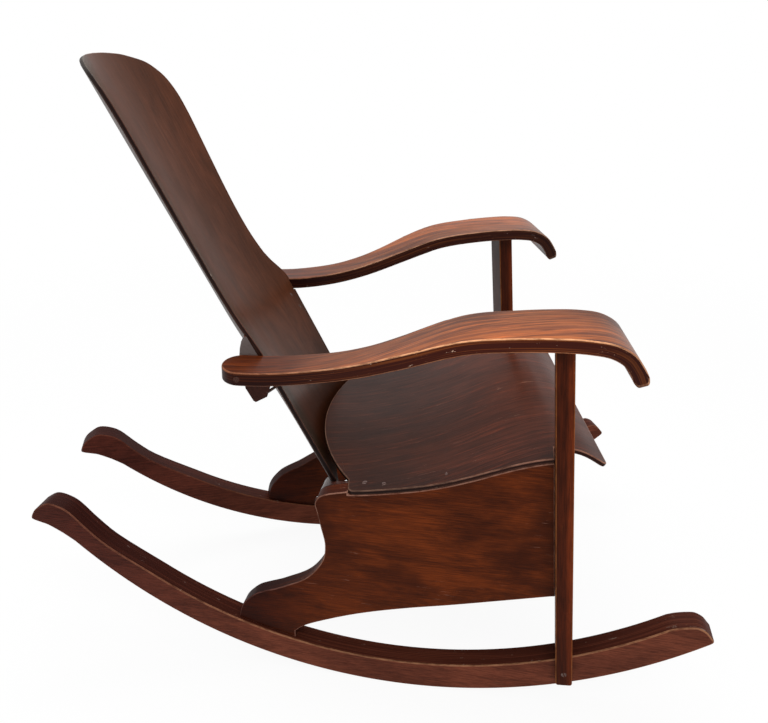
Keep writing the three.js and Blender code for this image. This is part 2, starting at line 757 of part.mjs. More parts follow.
const sides = [[-1, 'right'], [1, 'left']];
const rear_rail_x = rear_rail_forward;
const front_rail_end = post_rear(seat_rear_height + seat_rise) * Math.cos(toe) - front_rail_back;
const front_rail_x = front_rail_end - seat_rail_depth;
const seat_cut = above_seat_sides();
const seat_room = above_seat_bottom(seat_rear_width + fit_gap);
const hollow = shell_hollow();
const beside_shell = shell_half_width + fit_gap;
const shell_room = hollow.intersect(side_prism([
  new THREE.Vector2(-shell_radius, 0), new THREE.Vector2(shell_radius, 0),
  new THREE.Vector2(shell_radius, shell_length), new THREE.Vector2(-shell_radius, shell_length),
], -beside_shell, beside_shell));

sides.forEach(([side, word]) => {
  const dowels_down = foot_dowels(side);
  const dowels_front = rail_dowels(side, front_rail_x, front_rail_height);
  const dowels_rear = rail_dowels(side, rear_rail_x, rear_rail_height);
  const dowel_up = arm_dowel(side);
  const screws = seat_screws(side);

  const rocker = side_board(rocker_outline(), 0, rocker_thickness, side);
  add_piece(`rocker_${word}`, drilled(rocker, [foot_screw(side)], dowels_down), rocker_wood);

  const post_room = side_board(post_outline(fit_gap), -post_proud - overrun, rocker_thickness + overrun, side);
  const rocker_room = side_board(below_rocker_top(fit_gap), -overrun, rocker_thickness + overrun, side);
  const front_room = side_board([
    new THREE.Vector2(post_reach, -overrun), new THREE.Vector2(post_reach + overrun, -overrun),
    new THREE.Vector2(post_reach + overrun, arm_rear_height),
    new THREE.Vector2(post_reach - arm_rear_height * Math.tan(post_lean), arm_rear_height),
  ], -overrun, rocker_thickness + overrun, side);
  const panel = side_board(panel_outline(), panel_inset, panel_inner, side)
    .subtract(post_room).subtract(front_room).subtract(rocker_room).subtract(seat_cut);
  const panel_dowels = [...dowels_down, ...dowels_front, ...dowels_rear];
  add_piece(`side_panel_${word}`, drilled(panel, screws, panel_dowels), panel_wood);

  const lap = side_board(below_rocker_top(fit_gap), -fit_gap, rocker_thickness + overrun, side);
  const post = side_board(post_outline(0), -post_proud, rocker_thickness, side)
    .subtract(lap).subtract(arm_body(side, fit_gap));
  add_piece(`front_post_${word}`, drilled(post, [foot_screw(side)], [dowel_up]), post_wood);

  const arm = arm_body(side, 0);
  add_piece(`armrest_${word}`, drilled(arm, [arm_screw(side)], [dowel_up]), arm_wood);

  const bracket = bracket_body(side, hollow);
  add_piece(`arm_bracket_${word}`, drilled(bracket, [...back_screws(side), arm_screw(side)], []), rail_wood);

  const block = block_body(side);
  add_piece(`back_block_${word}`, drilled(block, [block_screw(side)], []), rail_wood);

  screws.forEach((s, i) => add_screw(`seat_screw_${word}_${i + 1}`, s));
  back_screws(side).forEach((s, i) => add_screw(`back_screw_${word}_${i + 1}`, s));
  add_screw(`block_screw_${word}`, block_screw(side));
  add_screw(`foot_screw_${word}`, foot_screw(side));
  add_screw(`arm_screw_${word}`, arm_screw(side));
  dowels_down.forEach((d, i) => add_dowel(`foot_dowel_${word}_${i + 1}`, d));
  dowels_front.forEach((d, i) => add_dowel(`front_rail_dowel_${word}_${i + 1}`, d));
  dowels_rear.forEach((d, i) => add_dowel(`rear_rail_dowel_${word}_${i + 1}`, d));
  add_dowel(`arm_dowel_${word}`, dowel_up);
});

function both(list) {
  return sides.flatMap(([side]) => list(side));
}

const seat_wide = rocker_spread + overrun;
const seat = side_prism(seat_strip.outline, -seat_wide, seat_wide)
  .intersect(plan_prism(mirrored(seat_half_plan()), 0, seat_rear_height + seat_rise + overrun));
add_piece('seat_shell', drilled(seat, both(seat_screws), []), seat_wood);

let shell = shell_body();
sides.forEach(([side]) => {
  shell = shell.subtract(arm_body(side, fit_gap));
});
const shell_screws = both((side) => [...back_screws(side), block_screw(side)]);
add_piece('back_shell', drilled(shell, shell_screws, []), back_wood);

const front_dowels = both((side) => rail_dowels(side, front_rail_x, front_rail_height));
const front_rail = seat_rail_body(front_rail_x, front_rail_height);
add_piece('front_seat_rail', drilled(front_rail, [], front_dowels), rail_wood);

const rear_dowels = both((side) => rail_dowels(side, rear_rail_x, rear_rail_height));
const rear_rail = seat_rail_body(rear_rail_x, rear_rail_height);
add_piece('rear_seat_rail', drilled(rear_rail, [], rear_dowels), rail_wood);

// The origin goes to the floor, midway between the rockers' tips
const bounds = new THREE.Box3().setFromObject(chair);
chair.position.set(-(bounds.min.x + bounds.max.x) / 2, 0, -bounds.min.z);

export default chair;
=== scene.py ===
# A rocking chair of bent and sawn plywood. Sizes are in millimetres, +X is the chair's front,
# +Y the sitter's left, +Z is up, and the origin is on the floor midway between the rockers' tips.

import math
import bmesh
import bpy
from mathutils import Matrix, Vector


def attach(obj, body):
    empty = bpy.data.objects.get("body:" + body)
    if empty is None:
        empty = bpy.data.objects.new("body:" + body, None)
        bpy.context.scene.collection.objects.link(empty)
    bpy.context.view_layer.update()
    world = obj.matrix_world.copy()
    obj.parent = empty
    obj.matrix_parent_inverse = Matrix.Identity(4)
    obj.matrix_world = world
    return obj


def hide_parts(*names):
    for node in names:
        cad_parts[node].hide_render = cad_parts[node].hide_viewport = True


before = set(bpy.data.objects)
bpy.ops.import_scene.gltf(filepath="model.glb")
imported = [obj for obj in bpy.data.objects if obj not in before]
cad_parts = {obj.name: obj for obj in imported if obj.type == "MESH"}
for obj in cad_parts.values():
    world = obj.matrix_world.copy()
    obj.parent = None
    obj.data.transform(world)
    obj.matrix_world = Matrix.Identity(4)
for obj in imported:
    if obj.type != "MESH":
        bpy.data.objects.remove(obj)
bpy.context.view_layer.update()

# Rockers: two boards sawn from thick plywood, curved below to roll and scrolled up at both ends.
# They toe in toward the rear and carry the side panels and the front posts. Their sawn faces are
# stained dark red brown under a thin varnish, which is rubbed off along the arrises.

mm = 0.001
origin_shift = -1.79
toe = math.radians(11)
rocker_spread = 207
rocker_thickness = 33
rocker_centre = (56, 700)
rocker_radius = 700
rocker_low_rear = -425
rocker_low_front = 484.5
rocker_top_centre = (51, 702.2)
rocker_top_radius = 659.5
rear_turn = -300
front_turn = 429
rear_scroll_length = 190
front_scroll_length = 58.2
scroll_height = 42.7
rear_scroll_shares = [
    (0, 0), (0.36, 0.99), (0.53, 1.66), (0.66, 2.28), (0.753, 2.51), (0.842, 2.57), (0.916, 2.4),
    (0.968, 2.2), (1, 1.92), (0.975, 1.82), (0.916, 1.745), (0.856, 1.66), (0.75, 1.4)]
front_scroll_shares = [
    (0, 0), (0.201, 0.115), (0.464, 0.2), (0.629, 0.21), (0.811, 0.087), (0.928, -0.098),
    (0.979, -0.176), (0.997, -0.216), (1, -0.258), (0.99, -0.307)]


def curve(points, steps):
    """A smooth curve through the points, in that many steps."""
    last = len(points) - 1
    found = []
    for i in range(steps + 1):
        t = i / steps * last
        k = min(int(t), last - 1)
        w = t - k
        a, b, c, d = (Vector(points[min(max(k + j, 0), last)]) for j in (-1, 0, 1, 2))
        near = (c - a) / 2
        far = (d - b) / 2
        found.append(tuple((2 * b - 2 * c + near + far) * w ** 3
                           + (3 * c - 3 * b - 2 * near - far) * w ** 2 + near * w + b))
    return found


def arc(centre, radius, start, end, steps):
    """The lower side of a circle, from one x to another."""
    a = -math.acos((start - centre[0]) / radius)
    b = -math.acos((end - centre[0]) / radius)
    turns = [a + (b - a) * i / steps for i in range(steps + 1)]
    return [(centre[0] + radius * math.cos(t), centre[1] + radius * math.sin(t)) for t in turns]


def shares(table, x, y, width, height):
    """The points of a table of shares, from a corner and along a width and a height."""
    return [(x + a * width, y + b * height) for a, b in table]


def rocker_top(u):
    """The height of a rocker's upper edge at a place along its board."""
    return rocker_top_centre[1] - math.sqrt(rocker_top_radius ** 2 - (u - rocker_top_centre[0]) ** 2)


def side_place(side):
    """From a side board's own plane, drawn forward, up and inward, to the chair."""
    def place(p):
        u, z, v = p.x, p.y, -p.z
        x = u * math.cos(toe) + v * math.sin(toe)
        y = rocker_spread + u * math.sin(toe) - v * math.cos(toe)
        return Vector((x, side * y, z))
    return place


sharp_edge = math.radians(50)
near_enough = 0.6
joined_within = 0.5
least_run = 0.01


def rim_edges(board):
    return [e for e in board.edges if len(e.link_faces) == 2 and e.calc_face_angle(0) > sharp_edge]


def slab(outline, thickness, ease, cuts_x=(), cuts_y=(), corners=(), noses=()):
    """A flat board: its outline as one face, with corners rounded, cut across where it will bend,
    thickened and eased. A nose is an end, at an x, whose edges are rounded more."""
    board = bmesh.new()
    board.faces.new([board.verts.new((x, y, 0)) for x, y in outline])
    for x, y, radius in corners:
        turn = [v for v in board.verts if (v.co.xy - Vector((x, y))).length < near_enough]
        bmesh.ops.bevel(board, geom=turn, offset=radius, segments=6, profile=0.5,
                        affect="VERTICES", material=-1)
    for axis, places in ((Vector((1, 0, 0)), cuts_x), (Vector((0, 1, 0)), cuts_y)):
        for place in places:
            bmesh.ops.bisect_plane(board, geom=board.verts[:] + board.edges[:] + board.faces[:],
                                   plane_co=axis * place, plane_no=axis)
    bmesh.ops.remove_doubles(board, verts=board.verts[:], dist=joined_within)
    grown = bmesh.ops.extrude_face_region(board, geom=board.faces[:])
    moved = [v for v in grown["geom"] if isinstance(v, bmesh.types.BMVert)]
    bmesh.ops.translate(board, verts=moved, vec=(0, 0, -thickness))
    bmesh.ops.recalc_face_normals(board, faces=board.faces[:])
    for x, radius in noses:
        turn = [e for e in rim_edges(board) if all(abs(v.co.x - x) < near_enough for v in e.verts)
                and abs(e.verts[0].co.y - e.verts[1].co.y) > least_run]
        bmesh.ops.bevel(board, geom=turn, offset=radius, segments=6, profile=0.5, affect="EDGES",
                        material=-1, clamp_overlap=False)
    board.faces.layers.float.new("arris")
    board.faces.layers.float.new("sawn")
    arris = board.faces.layers.float["arris"]
    sawn = board.faces.layers.float["sawn"]
    for face in board.faces:
        face[sawn] = float(abs(face.normal.z) < 0.5)
    eased = bmesh.ops.bevel(board, geom=rim_edges(board), offset=ease, segments=3, profile=0.5,
                            affect="EDGES", material=-1, clamp_overlap=False)
    for face in eased["faces"]:
        face[arris] = 1.0
    return board


def made(name, board, place, seed=0.0):
    """Keeps the flat place of every point, as drawn for tinting it with painted shade and highlight, and
    moved by a seed for the grain, so that no two boards look alike. Then the board is bent to its place on
    the chair."""
    flat = [v.co * mm for v in board.verts]
    for v in board.verts:
        p = place(v.co)
        v.co = Vector((p.x + origin_shift, p.y, p.z)) * mm
    bmesh.ops.recalc_face_normals(board, faces=board.faces[:])
    mesh = bpy.data.meshes.new(name)
    board.to_mesh(mesh)
    board.free()
    grain = mesh.attributes.new("grain", "FLOAT_VECTOR", "POINT")
    drawn = mesh.attributes.new("drawn", "FLOAT_VECTOR", "POINT")
    for i, p in enumerate(flat):
        grain.data[i].vector = (p.x + seed, p.y + seed, p.z)
        drawn.data[i].vector = p
    mesh.shade_smooth()
    mesh.set_sharp_from_angle(angle=math.radians(40))
    piece = bpy.data.objects.new(name, mesh)
    bpy.context.scene.collection.objects.link(piece)
    even = piece.modifiers.new("even_normals", "WEIGHTED_NORMAL")
    even.keep_sharp = True
    return piece


def fitted(piece, material, node):
    """Gives the piece its finish and puts it in the place of its frame node."""
    piece.data.materials.append(material)
    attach(piece, "root")
    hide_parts(node)


def fill(node, **given):
    """Sets inputs, by name or by i and a number, to values or to what another node puts out."""
    for key, value in given.items():
        socket = node.inputs[int(key[1:])] if key[1:].isdigit() else node.inputs[key.replace("_", " ")]
        if isinstance(value, bpy.types.NodeSocket):
            node.id_data.links.new(value, socket)
        else:
            socket.default_value = value


def put(tree, kind, settings=None, **given):
    """Adds a node with its settings, and fills its inputs."""
    new = tree.nodes.new(kind)
    for key, value in (settings or {}).items():
        setattr(new, key, value)
    fill(new, **given)
    return new


def math_node(tree, operation, a, b=0.0, clamp=False):
    settings = {"operation": operation, "use_clamp": clamp}
    return put(tree, "ShaderNodeMath", settings, i0=a, i1=b).outputs[0]


def times(tree, a, b):
    return math_node(tree, "MULTIPLY", a, b)


def plus(tree, a, b, clamp=False):
    return math_node(tree, "ADD", a, b, clamp)


def mixed(tree, factor, a, b, blend="MIX"):
    settings = {"data_type": "RGBA", "blend_type": blend}
    return put(tree, "ShaderNodeMix", settings, i0=factor, i6=a, i7=b).outputs[2]


def ranged(tree, value, low, high, to_low=0.0, to_high=1.0):
    return put(tree, "ShaderNodeMapRange", {"interpolation_type": "SMOOTHSTEP"}, Value=value,
               From_Min=low, From_Max=high, To_Min=to_low, To_Max=to_high).outputs[0]


def noise(tree, place, scale, detail, rough=0.5, distortion=0.0):
    return put(tree, "ShaderNodeTexNoise", i0=place, Scale=scale, Detail=detail, Roughness=rough,
               Distortion=distortion).outputs[0]


def attribute(tree, name, output="Fac"):
    return put(tree, "ShaderNodeAttribute", {"attribute_name": name}).outputs[output]


def apart(tree, vector):
    """The three numbers of a vector."""
    return tuple(put(tree, "ShaderNodeSeparateXYZ", i0=vector).outputs)


def together(tree, x, y, z):
    """A vector of three numbers."""
    return put(tree, "ShaderNodeCombineXYZ", X=x, Y=y, Z=z).outputs[0]


pore_color = (0.012, 0.006, 0.005, 1)
chip_color = (0.66, 0.5, 0.42, 1)
dark_line_filter = (0.42, 0.34, 0.3, 1)
pale_line_filter = (2.0, 1.8, 1.7, 1)


def wood_group():
    """Varnished wood: long streaks, figure, pores, blotches, scratches, ply lines and worn arrises."""
    tree = bpy.data.node_groups.new("varnished_ply", "ShaderNodeTree")
    for name, value in (
            ("Light", (0.3, 0.15, 0.1, 1)), ("Dark", (0.1, 0.04, 0.03, 1)), ("Sawn", (0.1, 0.05, 0.04, 1)),
            ("Worn", (0.6, 0.4, 0.3, 1)), ("Dark Lines", 0.3), ("Pale Lines", 0.2), ("Lines Across", 300.0),
            ("Streaks Along", 22.0), ("Chips", 0.2), ("Streak Width", 2.0), ("Streaks", 0.5),
            ("Figure", 0.4), ("Pores", 0.5), ("Blotches", 0.4), ("Wear", 0.5), ("Scratches", 0.4),
            ("Ply", 1.5), ("Ply Contrast", 0.5), ("Roughness", 0.35)):
        kind = "NodeSocketFloat" if isinstance(value, float) else "NodeSocketColor"
        tree.interface.new_socket(name=name, in_out="INPUT", socket_type=kind).default_value = value
    for name, kind in (("Color", "NodeSocketColor"), ("Roughness", "NodeSocketFloat"),
                       ("Height", "NodeSocketFloat")):
        tree.interface.new_socket(name=name, in_out="OUTPUT", socket_type=kind)
    come = tree.nodes.new("NodeGroupInput").outputs
    grain = attribute(tree, "grain", "Vector")
    arris = attribute(tree, "arris")
    sawn = attribute(tree, "sawn")
    along, across, inward = apart(tree, grain)

    def stretched(x, y, z, detail, rough=0.55, distortion=0.0):
        """Noise with so many spots to a metre along the grain, across it and into the board."""
        scaled = put(tree, "ShaderNodeMapping", i0=grain, i3=(x, y, z)).outputs[0]
        return noise(tree, scaled, 1.0, detail, rough, distortion)

    # Streaks of a width given in millimetres, and a broader figure that wanders across them
    per_metre = math_node(tree, "DIVIDE", 1000.0, come["Streak Width"])
    swayed = plus(tree, across, times(tree, stretched(2.5, 9.0, 9.0, 2.0), 0.009))
    streak_place = together(tree, times(tree, along, come["Streaks Along"]),
                            times(tree, swayed, per_metre), times(tree, inward, per_metre))
    streak = ranged(tree, noise(tree, streak_place, 1.0, 6.0, 0.75), 0.36, 0.64)
    figure = ranged(tree, stretched(7.0, 26.0, 26.0, 4.0, 0.65, 0.8), 0.36, 0.66)
    blotch = ranged(tree, stretched(7.0, 12.0, 12.0, 4.0, 0.6), 0.42, 0.66)
    tone = plus(tree, times(tree, streak, come["Streaks"]), times(tree, figure, come["Figure"]))
    whole = plus(tree, come["Streaks"], come["Figure"])
    color = mixed(tree, math_node(tree, "DIVIDE", tone, whole, clamp=True), come["Dark"], come["Light"])
    color = mixed(tree, times(tree, blotch, come["Blotches"]), color, come["Dark"])

    # Thin dark and pale lines along the grain, each where a long noise passes one level, and pores
    line_place = together(tree, times(tree, along, 3.2), times(tree, swayed, come["Lines Across"]),
                          times(tree, inward, come["Lines Across"]))
    line = noise(tree, line_place, 1.0, 3.0, 0.6)
    for level, width, amount, filtered in ((0.5, 0.035, "Dark Lines", dark_line_filter),
                                           (0.57, 0.02, "Pale Lines", pale_line_filter)):
        off = math_node(tree, "ABSOLUTE", math_node(tree, "SUBTRACT", line, level))
        share = times(tree, ranged(tree, off, 0.0, width, 1.0, 0.0), come[amount])
        color = mixed(tree, share, color, mixed(tree, 1.0, color, filtered, "MULTIPLY"))
    pore = ranged(tree, stretched(110.0, 1500.0, 1500.0, 2.0), 0.66, 0.74)
    color = mixed(tree, times(tree, pore, come["Pores"]), color, pore_color)

    # Plies along the sawn edges, as uneven bands of the depth in the board
    depth = math_node(tree, "DIVIDE", times(tree, inward, 1000.0), come["Ply"])
    ply_place = together(tree, times(tree, along, 5.0), times(tree, across, 5.0), depth)
    band = ranged(tree, noise(tree, ply_place, 1.0, 2.0), 0.5, 0.64)
    edge = mixed(tree, times(tree, band, come["Ply Contrast"]), come["Sawn"], come["Light"])
    color = mixed(tree, sawn, color, edge)

    # Short scratches in patches, arrises that are rubbed most on the upper side, and pale chips
    scratch = ranged(tree, stretched(26.0, 620.0, 620.0, 3.0, 0.6, 0.8), 0.67, 0.72)
    patch = ranged(tree, stretched(13.0, 13.0, 13.0, 2.0), 0.5, 0.62)
    scratch = times(tree, times(tree, scratch, patch), come["Scratches"])
    rub = ranged(tree, stretched(60.0, 60.0, 400.0, 4.0, 0.7), 0.3, 0.62, 0.25, 1.0)
    rub = times(tree, rub, ranged(tree, inward, -0.005, -0.003, 0.3, 1.0))
    rub = math_node(tree, "MULTIPLY", times(tree, arris, rub), come["Wear"], clamp=True)
    chip = ranged(tree, stretched(42.0, 42.0, 160.0, 5.0, 0.8), 0.645, 0.675)
    chip = times(tree, times(tree, math_node(tree, "MAXIMUM", arris, sawn), chip), come["Chips"])
    worn = math_node(tree, "MAXIMUM", rub, scratch)
    color = mixed(tree, worn, color, come["Worn"])
    color = mixed(tree, chip, color, chip_color)

    rough = plus(tree, come["Roughness"], times(tree, blotch, 0.06))
    rough = plus(tree, rough, times(tree, worn, 0.2))
    rough = plus(tree, rough, times(tree, sawn, 0.12), clamp=True)
    height = plus(tree, times(tree, streak, 0.35), times(tree, pore, -1.0))
    height = math_node(tree, "SUBTRACT", height, times(tree, scratch, 0.8))
    leave = tree.nodes.new("NodeGroupOutput")
    fill(leave, Color=color, Roughness=rough, Height=height)
    return tree


varnished_ply = wood_group()
coat_roughness = 0.2
bump_strength = 0.12
bump_distance = 0.0006
along_board, across_board, into_board = 0, 1, 2


def shade(hex_text):
    """A colour as it looks on a screen, to the linear values that the shader takes."""
    values = [int(hex_text[i:i + 2], 16) / 255 for i in (1, 3, 5)]
    return tuple(v / 12.92 if v <= 0.04045 else ((v + 0.055) / 1.055) ** 2.4 for v in values) + (1,)


def new_finish(name):
    """A material with its tree and its shader."""
    material = bpy.data.materials.new(name)
    material.use_nodes = True
    return material, material.node_tree, material.node_tree.nodes["Principled BSDF"]


def varnished(name, gloss=0.1, coat=0.0, painted_light_tints=(), **given):
    """A varnished wood: the wood group feeds the shader, and a clear coat lies over it. A tint is an
    axis of the board, two places on it in metres, and the colours that the wood is filtered by there: painted
    shade, painted highlight and painted sheen."""
    material, tree, shader = new_finish(name)
    group = put(tree, "ShaderNodeGroup", {"node_tree": varnished_ply})
    fill(group, **{key: shade(value) if isinstance(value, str) else value for key, value in given.items()})
    color = group.outputs["Color"]
    parts = apart(tree, attribute(tree, "drawn", "Vector"))
    for axis, low, high, first, last in painted_light_tints:
        share = ranged(tree, parts[axis], low, high)
        color = mixed(tree, 1.0, color, mixed(tree, share, (*first, 1), (*last, 1)), "MULTIPLY")
    lift = put(tree, "ShaderNodeBump", Strength=bump_strength, Distance=bump_distance,
               Height=group.outputs["Height"]).outputs[0]
    fill(shader, Base_Color=color, Roughness=group.outputs["Roughness"], Normal=lift, Coat_Weight=coat,
         Coat_Roughness=coat_roughness, Specular_IOR_Level=gloss)
    return material


# The rockers are filtered much darker toward the rear end, a painted shade under the seat and the back, and a
# little lighter in front, a painted highlight.
rocker_wood = varnished(
    "rocker_wood", gloss=0.06, Light="#753c2b", Dark="#421d13", Sawn="#3a170e", Worn="#a87456",
    Streak_Width=1.8, Streaks_Along=40.0, Streaks=0.6, Figure=0.4, Pores=0.8, Blotches=0.35,
    Wear=0.6, Scratches=0.25, Ply=1.6, Ply_Contrast=0.3, Roughness=0.42,
    painted_light_tints=((along_board, -0.45, -0.05, (0.55, 0.46, 0.5), (1.1, 1.15, 1.1)),))
rocker_low = arc(rocker_centre, rocker_radius, rocker_low_rear, rocker_low_front, steps=72)
front_scroll = shares(front_scroll_shares, front_turn, rocker_top(front_turn), front_scroll_length,
                      scroll_height)
rear_scroll = shares(rear_scroll_shares, rear_turn, rocker_top(rear_turn), -rear_scroll_length,
                     scroll_height)
rocker_outline = (rocker_low + curve([rocker_low[-1], *front_scroll[::-1]], steps=24)[1:-1]
                  + arc(rocker_top_centre, rocker_top_radius, front_turn, rear_turn, steps=56)
                  + curve(rear_scroll, steps=44)[1:])
sides = ((-1, "right"), (1, "left"))
for side, word in sides:
    rocker = made(f"rocker_board_{word}", slab(rocker_outline, rocker_thickness, ease=1.8),
                  side_place(side), seed=0.37 * side)
    fitted(rocker, rocker_wood, f"rocker_{word}")

# Seat: one sheet of plywood bent over the panels, with a waterfall front edge and an arc behind.
# It is screwed down along both sides. Its varnish is scuffed, and the front arris is rubbed bright.

clearance = 0.3
seat_thickness = 6.5
seat_rear_reach = 47
seat_length = 375
seat_front = seat_length - seat_rear_reach
seat_low = 326.5
seat_rise = 79.8
seat_corner_radius = 8
seat_rear_radius = 375
seat_rear_half_width = 172
seat_rear_steps = 12
seat_profile_shares = [
    (0, -0.01), (0.1068, 0), (0.188, 0.05), (0.3215, 0.175), (0.4313, 0.318), (0.5332, 0.5),
    (0.6114, 0.662), (0.6945, 0.825), (0.7826, 0.955), (0.8449, 0.997), (0.8829, 0.98), (0.9173, 0.946),
    (0.948, 0.885), (0.9757, 0.808), (1, 0.741)]
seat_top_line = curve(shares(seat_profile_shares, -seat_rear_reach, seat_low, seat_length, seat_rise),
                      steps=160)
panel_inset = 4.75
panel_inner = 28.25
post_lean = math.radians(5)
post_middle = 306.1
post_half_depth = 11.35
notch_clearance = 0.6


def line_at(line, x):
    """The height of a line of points at x, carried on straight past its ends, and its slope."""
    k = next((i for i, p in enumerate(line) if p[0] >= x), len(line) - 1)
    a, b = line[max(k, 1) - 1], line[max(k, 1)]
    slope = (b[1] - a[1]) / (b[0] - a[0])
    return a[1] + (x - a[0]) * slope, slope


def half_width(x, v):
    """At an x of the chair, how far from its middle a depth in a side board lies."""
    return rocker_spread + x * math.tan(toe) - v / math.cos(toe)


def post_rear(z):
    """Where a post's rear face stands along its side board, at a height."""
    return post_middle - post_half_depth / math.cos(post_lean) - z * math.tan(post_lean)


def seat_place(p):
    z, slope = line_at(seat_top_line, p.x)
    across = Vector((-slope, 0, 1)).normalized() * p.z
    return Vector((p.x + across.x, p.y, z + across.z))


def spaced(first, gap, count):
    return [first + gap * i for i in range(count)]


notch_depth = rocker_thickness + clearance
notch_u = post_rear(line_at(seat_top_line, post_rear(seat_low))[0]) - notch_clearance
notch_x = [notch_u * math.cos(toe) + v * math.sin(toe) for v in (panel_inset, notch_depth)]
rear_turns = [math.asin(seat_rear_half_width / seat_rear_radius) * i / seat_rear_steps
              for i in range(seat_rear_steps, -seat_rear_steps - 1, -1)]
seat_rear = [(seat_front - seat_rear_radius * math.cos(t), seat_rear_radius * math.sin(t))
             for t in rear_turns]
rear_x = seat_rear[0][0]
near = [(rear_x, -half_width(rear_x, panel_inset)), (notch_x[0], -half_width(notch_x[0], panel_inset)),
        (notch_x[1], -half_width(notch_x[1], notch_depth)),
        (seat_front, -half_width(seat_front, notch_depth))]
far = [(x, -y) for x, y in near[::-1]]
corners = [(x, y, seat_corner_radius) for x, y in (near[0], near[3], far[0], far[3])]
seat_slab = slab(seat_rear + near + far, seat_thickness, ease=1.5, corners=corners,
                 cuts_x=spaced(first=-40, gap=6, count=62), cuts_y=spaced(first=-200, gap=40, count=11))
seat = made("seat_sheet", seat_slab, seat_place)
# The seat is filtered darker and greyer toward its rear, a painted shade by the back, and darker and redder
# at the front, a painted reflection of the arms.
seat_wood = varnished(
    "seat_wood", gloss=0.07, coat=0.035, Light="#5c2b1a", Dark="#36180e", Sawn="#2a100a",
    Worn="#c08f80", Streak_Width=2.0, Streaks=0.4, Figure=0.3, Pores=0.4, Blotches=0.4,
    Dark_Lines=0.4, Pale_Lines=1.0, Lines_Across=105.0, Wear=0.6, Scratches=0.6, Ply=1.3,
    Ply_Contrast=0.3, Roughness=0.34,
    painted_light_tints=((along_board, 0.04, 0.25, (0.42, 0.44, 0.38), (0.85, 0.8, 0.68)),))
fitted(seat, seat_wood, "seat_shell")

# Side panels: sawn boards that stand on the rockers by a rear foot, arch over them and run under the
# seat to the posts. A rounded nose behind holds the foot of the back. Warm brown, grain along them.

panel_rear = -177
panel_foot_rear = -176.5
panel_length = 454
panel_height = 321
nose_clearance = 0.5
nose_lower_end = 300
arch_end_rise = 1
panel_rear_shares = [
    (0.407, 1.014), (0.376, 1.011), (0.346, 1.002), (0.31, 0.988), (0.286, 0.969), (0.273, 0.935),
    (0.279, 0.891), (0.289, 0.814), (0.2996, 0.735), (0.296, 0.664), (0.281, 0.615), (0.258, 0.568),
    (0.236, 0.536), (0.209, 0.509), (0.173, 0.482), (0.137, 0.456), (0.095, 0.432), (0.063, 0.41),
    (0.038, 0.379), (0.02, 0.349), (0.008, 0.315), (0.001, 0.276)]
panel_arch_shares = [
    (0.189, 0.219), (0.233, 0.267), (0.346, 0.338), (0.446, 0.388), (0.568, 0.437), (0.719, 0.49),
    (1.03, 0.608)]


def panel_outline():
    """From the seat's rear corner round the nose and the foot, along the arch and back under the seat."""
    def on_panel(x):
        return (x - panel_inset * math.sin(toe)) / math.cos(toe)

    def behind_post(p):
        return p[0] < post_rear(p[1]) - clearance

    start = on_panel(rear_x - clearance)
    under = []
    for x, z in seat_top_line:
        slope = line_at(seat_top_line, x)[1]
        down = Vector((-slope, 1)).normalized() * (seat_thickness + clearance)
        under.append((on_panel(x - down.x), z - down.y))
    under = [p for p in under if p[0] > start and behind_post(p)]
    nose = curve(shares(panel_rear_shares, panel_rear, 0, panel_length, panel_height), steps=84)
    nose = [p for p in nose if p[0] < start - nose_clearance or p[1] < nose_lower_end]
    arch = curve(shares(panel_arch_shares, panel_rear, 0, panel_length, panel_height), steps=32)
    arch = [p for p in arch if behind_post(p)]
    foot = arc(rocker_top_centre, rocker_top_radius, panel_foot_rear, arch[0][0], steps=10)
    low, high = arch[-1][1] + arch_end_rise, under[-1][1]
    return [(start, line_at(nose[1::-1], start)[0]), *nose, *[(x, z + clearance) for x, z in foot], *arch,
            (post_rear(low) - clearance, low), (post_rear(high) - clearance, high), *under[::-3],
            (start, under[0][1])]


def panel_place(side):
    on_side = side_place(side)

    def place(p):
        return on_side(Vector((p.x, p.y, p.z - panel_inset)))
    return place


# The panels are filtered much darker toward the rear nose, a painted shade under the seat's rear and the
# back.
panel_wood = varnished(
    "panel_wood", gloss=0.05, Light="#733210", Dark="#301106", Sawn="#3a170d", Worn="#bb8a78",
    Streak_Width=1.2, Streaks=0.45, Figure=0.35, Pores=0.6, Blotches=0.8, Wear=0.5, Scratches=0.35,
    Ply=1.8, Ply_Contrast=0.3, Roughness=0.36,
    painted_light_tints=((along_board, -0.16, -0.01, (0.34, 0.26, 0.28), (1, 1, 0.95)),))
for side, word in sides:
    board = slab(panel_outline(), panel_inner - panel_inset, ease=1.4)
    panel = made(f"panel_board_{word}", board, panel_place(side), seed=1.7 + 0.6 * side)
    fitted(panel, panel_wood, f"side_panel_{word}")

# Front posts: slim bars that lean back from the rockers to the arms. Each laps over its rocker's outer
# face, where a screw holds it, and stands on the rocker's upper edge inside. Eased at the foot.

post_outer = -11.5
post_inner = 33
post_foot_height = 51.7
post_head_height = 563.2
post_nose_radius = 4
post_crossing = 295.1
step_clearance = 0.4
step_reach = 3
post_step = (rocker_top(post_crossing) + step_clearance) / math.cos(post_lean)
post_foot = post_foot_height / math.cos(post_lean)
post_head = post_head_height / math.cos(post_lean)


def post_place(side):
    """Leans the bar back, and bends its inner step to the curve of the rocker that it stands on."""
    on_side = side_place(side)

    def place(p):
        s, v, a = p.x, p.y, -p.z - post_half_depth
        if abs(s - post_step) < step_reach:
            u = post_middle + a - s * math.sin(post_lean)
            s += rocker_top(u) - rocker_top(post_middle - post_step * math.sin(post_lean))
            s -= a * math.tan(post_lean)
        u = post_middle + a * math.cos(post_lean) - s * math.sin(post_lean)
        z = s * math.cos(post_lean) + a * math.sin(post_lean)
        return on_side(Vector((u, z, -v)))
    return place
